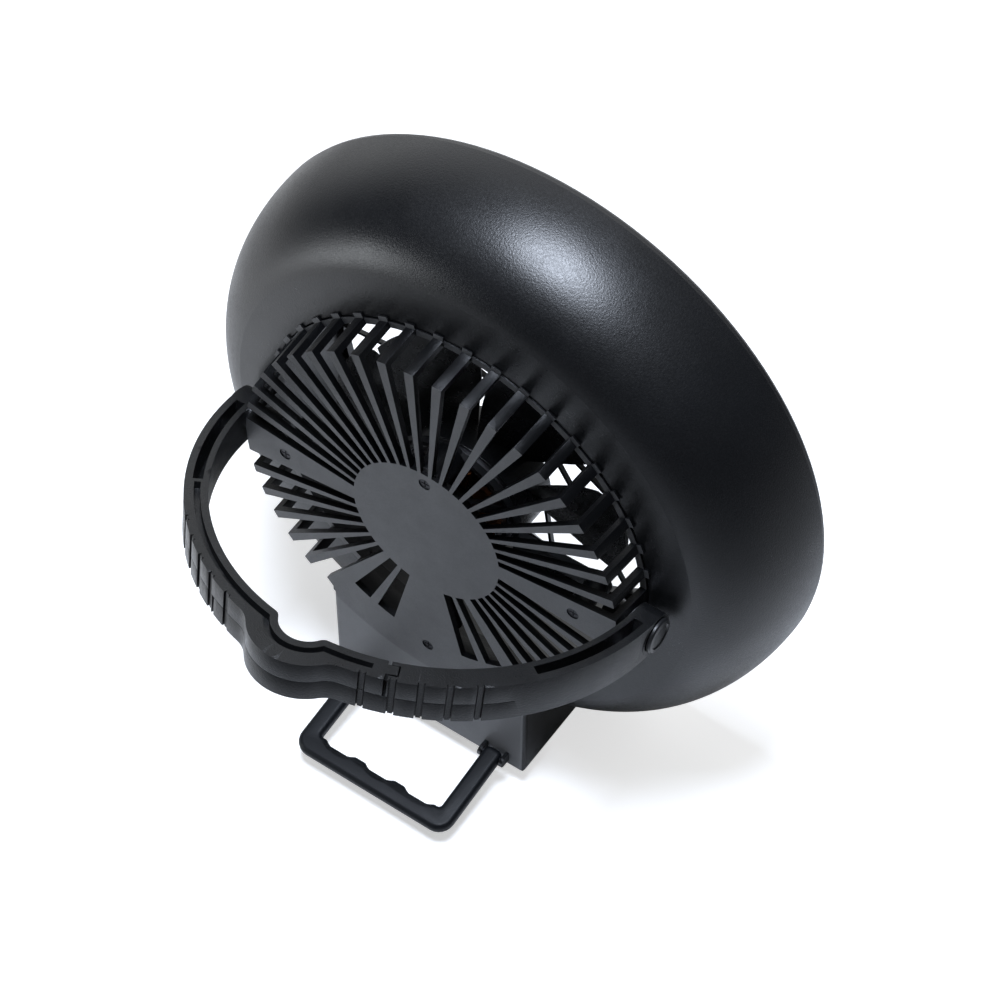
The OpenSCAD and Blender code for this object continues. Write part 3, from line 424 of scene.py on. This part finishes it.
# ---------------------------------------------------------------- rear shell
RING_R, WALL = 150.0, 2.4
DISH_R, DISH_DEPTH, DISH_LONG = 114.86, 78.5, 55.24    # the section is a quarter ellipse
CREASE = 7.5                                           # angle where it meets the flat ring
HOLE_R, HOLE_FACE = 99.2, 21.8
COLLAR, COLLAR_TO = 1.8, 30.0                          # the thin collar round the hole
BASE_HALF, BASE_BELOW, BASE_FROM, BASE_TO = 53.8, 83.5, 19.0, 90.0    # the opening for the base
SHELL_SHARP = 32.0


def dish_row(steps, inset=0.0):
    """Points of the shell's section from the flat ring to the rim, or of one inset from it."""
    row = []
    for i in range(steps + 1):
        a = math.radians(CREASE + (90 - CREASE) * i / steps)
        row.append((DISH_R + (RING_R - DISH_R - inset) * math.sin(a),
                    DISH_DEPTH - (DISH_LONG - inset) * math.cos(a)))
    return row


def base_opening():
    """A box where the base goes through the shell, down to below the floor."""
    low = (-BASE_HALF, REAR_Y - BASE_TO, -20.0)
    high = (BASE_HALF, REAR_Y - BASE_FROM, AXIS_H - BASE_BELOW)
    bm = bmesh.new()
    for vert in bmesh.ops.create_cube(bm, size=1.0)["verts"]:
        vert.co = Vector([(low[k] if vert.co[k] < 0 else high[k]) * MM for k in range(3)])
    return bm


def make_rear_shell():
    outer = dish_row(48)
    inner = dish_row(24, WALL)[::-1]
    flat_ring = rounded([(HOLE_R, COLLAR_TO), (HOLE_R, HOLE_FACE), outer[0], outer[2]],
                        [0.0, 0.5, 1.6, 0.0], 4)
    collar = [(HOLE_R + COLLAR, HOLE_FACE + WALL), (HOLE_R + COLLAR, COLLAR_TO)]
    bm = bmesh.new()
    lathe(bm, flat_ring[:-1] + outer[2:] + inner + collar, 288)
    obj = add_object("shell_rear", bm, materials["shell"], SHELL_SHARP)
    cut(obj, base_opening(), SHELL_SHARP)
    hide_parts("rear_shell")
    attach(obj, "fan_body")


# ---------------------------------------------------------------- stand handle
STAND_HALF, STAND_LONG, STAND_THICK = 43.5, 46.1, 6.4
STAND_ARM, STAND_BAR = 9.4, 10.9              # widths of the arms and of the bar
STAND_EDGE = 2.5                              # rounding along all its edges
STAND_DROOP = math.radians(8.5)
PIVOT_Y, PIVOT_H = REAR_Y + 4.0, 16.7
PIN_BORE_R = 1.56
FINGER_PITCH, FINGER_R, FINGER_DEPTH = 22.5, 15.0, 2.6
OUTER_CORNER, INNER_CORNER, ARM_END, FINGER_CORNER = 8.0, 2.6, 3.1, 2.0
STAND_SHARP = 50.0


def finger_hollows(bar_from):
    """Points and corner radii of the three arcs along the bar's inner side."""
    points = []
    radii = []
    half_steps = 4
    reach = math.acos((FINGER_R - FINGER_DEPTH) / FINGER_R)
    for i in (1, 0, -1):
        for step in range(2 * half_steps + 1):
            a = reach * (1 - step / half_steps)
            points.append((i * FINGER_PITCH + FINGER_R * math.sin(a),
                           bar_from + FINGER_DEPTH - FINGER_R * (1 - math.cos(a))))
            radii.append(FINGER_CORNER if step in (0, 2 * half_steps) else 0.0)
    return points, radii


def stand_outline():
    """The handle seen from above: two arms, the bar and its hollows."""
    inside, bar_from, end = STAND_HALF - STAND_ARM, STAND_LONG - STAND_BAR, -STAND_THICK / 2
    hollows, hollow_radii = finger_hollows(bar_from)
    points = [(-STAND_HALF, end), (-STAND_HALF, STAND_LONG), (STAND_HALF, STAND_LONG), (STAND_HALF, end),
              (inside, end), (inside, bar_from)] + hollows + [(-inside, bar_from), (-inside, end)]
    radii = [ARM_END, OUTER_CORNER, OUTER_CORNER, ARM_END, ARM_END, INNER_CORNER]
    radii += hollow_radii + [INNER_CORNER, ARM_END]
    return [Vector(p) for p in rounded(points, radii, 6)]


def edge_levels(steps=7):
    """(inset, height) pairs that round the section's edges, from below to above."""
    upper = []
    for i in range(steps + 1):
        a = math.pi / 2 * i / steps
        upper.append((STAND_EDGE * (1 - math.cos(a)),
                      STAND_THICK / 2 - STAND_EDGE + STAND_EDGE * math.sin(a)))
    return [(inset, -z) for inset, z in reversed(upper)] + upper


def stand_body():
    """The outline raised through the levels, tilted by the droop about the pivot."""
    outline = stand_outline()
    droop_cos, droop_sin = math.cos(STAND_DROOP), math.sin(STAND_DROOP)
    bm = bmesh.new()
    rows = []
    for inset, z in edge_levels():
        row = []
        for point in inward(outline, inset):
            out = point.y * droop_cos + z * droop_sin
            up = z * droop_cos - point.y * droop_sin
            row.append(bm.verts.new(Vector((point.x, PIVOT_Y + out, PIVOT_H + up)) * MM))
        rows.append(row)
    count = len(outline)
    for low, high in zip(rows, rows[1:]):
        for i in range(count):
            k = (i + 1) % count
            bm.faces.new((low[i], low[k], high[k], high[i]))
    bm.faces.new(rows[0])
    bm.faces.new(rows[-1])
    return bm


def pin_bore():
    """A rod along the pivot, through both arms."""
    pivot = Vector((0.0, PIVOT_Y, PIVOT_H)) * MM
    across = Matrix.Translation(pivot) @ Matrix.Rotation(math.pi / 2, 4, "Y")
    bm = bmesh.new()
    bmesh.ops.create_cone(bm, cap_ends=True, segments=48, radius1=PIN_BORE_R * MM,
                          radius2=PIN_BORE_R * MM, depth=100 * MM, matrix=across)
    return bm


def make_stand_handle():
    obj = add_object("stand_round", stand_body(), materials["stand"], STAND_SHARP)
    cut(obj, pin_bore(), STAND_SHARP)
    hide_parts("stand_handle")
    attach(obj, "stand")


# ---------------------------------------------------------------- fan rotor
HUB_R, HUB_FROM, HUB_TO, HUB_END = 31.5, 27.0, 50.0, 53.0
HUB_CHAMFER, HUB_WALL = 4.0, 6.0
CAN_BORE_R, CAN_TO, WEB_TO, SHAFT_R = 28.62, 40.02, 43.5, 2.5
TIP_R, BLADE_ROOT = 77.0, HUB_R - 1.2         # a blade starts inside the hub's wall
BLADE_COUNT, BLADE_FIRST = 7, 117.0           # angle of the first blade
BLADE_MID, BLADE_THICK = 38.0, 1.9
BLADE_HALF, BLADE_SWELL = 20.0, 2.8           # half of a blade's angle, and how much it grows
BLADE_SWEEP = 3.0                             # degrees that the tip is ahead of the root
BLADE_PITCH, BLADE_TWIST = 5.0, 2.6           # rise at the root, and how much of it the tip lacks
BLADE_CAMBER = 2.2
TIP_FROM, TIP_CUT = 0.75, 24.0                # where the corners start to curve, and how strongly


def blade_point(f, s, side):
    """f runs from the hub to the tip, s from one edge to the other, side is -1 or 1 for a face."""
    half = BLADE_HALF + BLADE_SWELL * math.sin(math.radians(150 * f))
    cut_back = TIP_CUT * max(0.0, f - TIP_FROM) * s * s * (1.0 if s > 0 else 0.6)
    r = BLADE_ROOT + (TIP_R - BLADE_ROOT) * f - cut_back
    a = math.radians(BLADE_FIRST + half * s + BLADE_SWEEP * f)
    depth = BLADE_MID + (BLADE_PITCH - BLADE_TWIST * f) * s + BLADE_CAMBER * (1 - s * s)
    thick = BLADE_THICK * (1.25 - 0.6 * abs(s) - 0.45 * abs(s) ** 8)
    return r * math.cos(a), r * math.sin(a), depth + side * thick / 2


def add_blade(bm, turn, rows=26, columns=28):
    grids = []
    for side in (-1, 1):
        grid = []
        for i in range(rows + 1):
            line = []
            for j in range(columns + 1):
                x, y, depth = blade_point(i / rows, -1 + 2 * j / columns, side)
                line.append(bm.verts.new(fan_axis(x * math.cos(turn) - y * math.sin(turn),
                                                  x * math.sin(turn) + y * math.cos(turn), depth)))
            grid.append(line)
        grids.append(grid)
    low, high = grids
    for grid in grids:
        for i in range(rows):
            for j in range(columns):
                bm.faces.new((grid[i][j], grid[i + 1][j], grid[i + 1][j + 1], grid[i][j + 1]))
    for i in range(rows):
        for j in (0, columns):
            bm.faces.new((low[i][j], low[i + 1][j], high[i + 1][j], high[i][j]))
    for j in range(columns):
        for i in (0, rows):
            bm.faces.new((low[i][j], low[i][j + 1], high[i][j + 1], high[i][j]))


def make_rotor():
    hub = [(CAN_BORE_R, HUB_FROM), (HUB_R, HUB_FROM), (HUB_R, HUB_TO), (HUB_R - HUB_CHAMFER, HUB_END),
           (HUB_R - HUB_WALL, HUB_END), (HUB_R - HUB_WALL, WEB_TO), (SHAFT_R, WEB_TO),
           (SHAFT_R, CAN_TO), (CAN_BORE_R, CAN_TO)]
    bm = bmesh.new()
    lathe(bm, rounded(hub, [0.3, 0.5, 1.5, 0.8, 0.4, 1.0, 0.0, 0.0, 0.0], 4), 144)
    for i in range(BLADE_COUNT):
        add_blade(bm, 2 * math.pi * i / BLADE_COUNT)
    obj = add_object("rotor_blades", bm, materials["rotor"], 40.0)
    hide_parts("fan_rotor")
    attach(obj, "rotor")


# ---------------------------------------------------------------- camera
CAMERA_AZIMUTH, CAMERA_ELEVATION, CAMERA_ROLL = 213.9836, 50.9066, 0.8624
CAMERA_TARGET = Vector((-38.354, 42.0, 200.354)) * MM
CAMERA_DISTANCE = 1.0395
SENSOR_WIDTH = 36.0
FOCAL_WIDTHS = 2.5419                         # focal length over the sensor's width


def toward(azimuth, elevation):
    """Unit vector in the camera's own convention: azimuth 0 is -Y, 90 is +X."""
    a, e = math.radians(azimuth), math.radians(elevation)
    return Vector((math.sin(a) * math.cos(e), -math.cos(a) * math.cos(e), math.sin(e)))


def add_camera():
    roll = math.radians(CAMERA_ROLL)
    back = toward(CAMERA_AZIMUTH, CAMERA_ELEVATION)
    right = Vector((0, 0, 1)).cross(back).normalized()
    up = back.cross(right)
    x_axis = math.cos(roll) * right + math.sin(roll) * up
    y_axis = -math.sin(roll) * right + math.cos(roll) * up
    data = bpy.data.cameras.new("camera")
    data.sensor_width = SENSOR_WIDTH
    data.lens = FOCAL_WIDTHS * SENSOR_WIDTH
    data.clip_start = 0.01
    data.clip_end = 20.0
    camera = bpy.data.objects.new("camera", data)
    bpy.context.scene.collection.objects.link(camera)
    place = Matrix((x_axis, y_axis, back)).transposed().to_4x4()
    place.translation = CAMERA_TARGET + back * CAMERA_DISTANCE
    camera.matrix_world = place
    bpy.context.scene.camera = camera


# ---------------------------------------------------------------- floor
# (metres from the object, brightness) and (degrees of azimuth, brightness) stops
# the floor's colour is a painted pool of light: pale round the object, darker further out
FLOOR_PAINTED_POOL = [(0.15, 0.80), (0.25, 0.62), (0.42, 0.30), (0.65, 0.24), (1.5, 0.13)]
FLOOR_SEEN = [(0.12, 0.46), (0.25, 0.62), (0.42, 0.85), (0.65, 0.95), (1.0, 1.0)]
# painted light for camera rays that makes the shadow paler on one side, near the object
PAINTED_FILL_TURN = [(-90, 0.2), (-50, 0.2), (-20, 0.0), (200, 0.0), (255, 0.2)]
PAINTED_FILL_OUT = [(0.09, 1.0), (0.16, 0.5)]
# a painted glow on the floor that only reflections see
MIRRORED_GLOW_TURN = [(-20, 0.1), (0, 0.4), (30, 0.65), (60, 0.6), (80, 0.55), (120, 0.85), (145, 0.35), (165, 0.0)]
MIRRORED_GLOW_OUT = [(0.15, 0.15), (0.27, 0.8), (0.6, 1.0), (1.6, 0.5)]


def by_radius(tree, stops):
    """Brightness that depends on the distance from the object, in metres up to 2."""
    half = compute(tree, "MULTIPLY", vector_length(tree, object_place(tree)), 0.5)
    return ramp(tree, half, [(place / 2, value) for place, value in stops])


def by_azimuth(tree, stops):
    """Brightness that depends on the compass direction from the object, 0 at -Y and 90 at +X."""
    parts = vector_parts(tree, object_place(tree))
    angle = compute(tree, "ARCTAN2", parts["Y"], parts["X"])
    # the angle runs from -180 to 180 degrees with 0 at +X, which is azimuth -90 to 270
    turns = compute(tree, "MULTIPLY_ADD", angle, 0.5 / math.pi, 0.5)
    return ramp(tree, turns, [((a + 90) / 360, value) for a, value in stops])


def floor_glow(tree):
    """What the camera sees the floor as, plus a painted glow on the floor that only glossy rays see, for
    the fan to mirror.
    """
    seen = by_radius(tree, FLOOR_SEEN)
    # painted light makes the shadow paler on the side away from the backdrop
    seen = compute(tree, "MULTIPLY_ADD", by_azimuth(tree, PAINTED_FILL_TURN),
                   by_radius(tree, PAINTED_FILL_OUT), seen)
    mirrored = compute(tree, "MULTIPLY", by_azimuth(tree, MIRRORED_GLOW_TURN), by_radius(tree, MIRRORED_GLOW_OUT))
    path = tree.nodes.new("ShaderNodeLightPath")
    mirrored = compute(tree, "MULTIPLY", mirrored, path.outputs["Is Glossy Ray"])
    return compute(tree, "MULTIPLY_ADD", seen, path.outputs["Is Camera Ray"], mirrored)


def add_floor():
    """White floor that keeps the shadow; its colour is a painted pool of light, brightest round the object.
    """
    bm = bmesh.new()
    bmesh.ops.create_grid(bm, x_segments=1, y_segments=1, size=4.0)
    mat, tree, inputs = new_material("floor_white")
    inputs["Roughness"].default_value = 0.7
    inputs["Specular IOR Level"].default_value = 0.1
    tree.links.new(by_radius(tree, FLOOR_PAINTED_POOL), inputs["Base Color"])
    glow = tree.nodes.new("ShaderNodeEmission")
    glow.inputs["Color"].default_value = (1, 1, 1, 1)
    tree.links.new(floor_glow(tree), glow.inputs["Strength"])
    total = tree.nodes.new("ShaderNodeAddShader")
    tree.links.new(tree.nodes["Principled BSDF"].outputs[0], total.inputs[0])
    tree.links.new(glow.outputs[0], total.inputs[1])
    tree.links.new(total.outputs[0], tree.nodes["Material Output"].inputs["Surface"])
    floor = add_object("floor", bm, mat)


# ---------------------------------------------------------------- world and lights
LIGHT_AIM = Vector((0.0, 0.0, 0.2))
BACKDROP_SIDE, ROOM_SIDE = (28, 2), (0, 90)    # azimuth and elevation of each lobe's middle
# (cosine of the angle from the lobe's middle, brightness) stops
BACKDROP = [(0.45, 0.0), (0.8, 1.0), (0.95, 1.2)]
ROOM = [(0.0, 0.04), (0.6, 0.07), (0.92, 0.30)]


def lobe(tree, direction, stops):
    """Brightness that depends on the angle from one direction."""
    coord = tree.nodes.new("ShaderNodeTexCoord")
    dot = tree.nodes.new("ShaderNodeVectorMath")
    dot.operation = "DOT_PRODUCT"
    dot.inputs[1].default_value = direction
    tree.links.new(coord.outputs["Generated"], dot.inputs[0])
    return ramp(tree, dot.outputs["Value"], stops)


def add_world():
    """A dark studio with a white backdrop on one side; the camera sees plain white."""
    world = bpy.data.worlds.new("studio")
    bpy.context.scene.world = world
    world.use_nodes = True
    tree = world.node_tree
    sky = tree.nodes["Background"]
    sky.inputs["Color"].default_value = (0.97, 0.985, 1.0, 1)
    backdrop = lobe(tree, toward(*BACKDROP_SIDE), BACKDROP)
    room = lobe(tree, toward(*ROOM_SIDE), ROOM)
    tree.links.new(compute(tree, "ADD", backdrop, room), sky.inputs["Strength"])
    seen = tree.nodes.new("ShaderNodeBackground")
    seen.inputs["Color"].default_value = (1, 1, 1, 1)
    seen.inputs["Strength"].default_value = 1.0
    path = tree.nodes.new("ShaderNodeLightPath")
    mix = tree.nodes.new("ShaderNodeMixShader")
    tree.links.new(path.outputs["Is Camera Ray"], mix.inputs["Fac"])
    tree.links.new(sky.outputs[0], mix.inputs[1])
    tree.links.new(seen.outputs[0], mix.inputs[2])
    tree.links.new(mix.outputs[0], tree.nodes["World Output"].inputs["Surface"])


def area_light(name, shape, width, height, distance, azimuth, elevation, power, tint):
    """A light of the given size that looks at the object from one direction."""
    place = LIGHT_AIM + distance * toward(azimuth, elevation)
    data = bpy.data.lights.new(name, "AREA")
    data.shape = shape
    data.size = width
    data.size_y = height
    data.energy = power
    data.color = tint
    light = bpy.data.objects.new(name, data)
    light.location = place
    light.rotation_euler = (LIGHT_AIM - place).to_track_quat("-Z", "Y").to_euler()
    bpy.context.scene.collection.objects.link(light)


# ---------------------------------------------------------------- the whole scene
make_rear_shell()
make_stand_handle()
make_rotor()
edge_round("rear_grille", 0.35)
edge_round("bail_arm_left", 0.5)
edge_round("bail_arm_right", 0.5)
add_camera()
add_floor()
add_world()
area_light("overhead", "ELLIPSE", 0.54, 0.54, 1.3, 192, 83.8, 26.5, (0.82, 0.90, 1.05))
area_light("side_panel", "RECTANGLE", 0.36, 0.46, 0.95, 131, 3, 2.6, (0.92, 0.96, 1.0))
bpy.context.scene.view_settings.view_transform = "Standard"
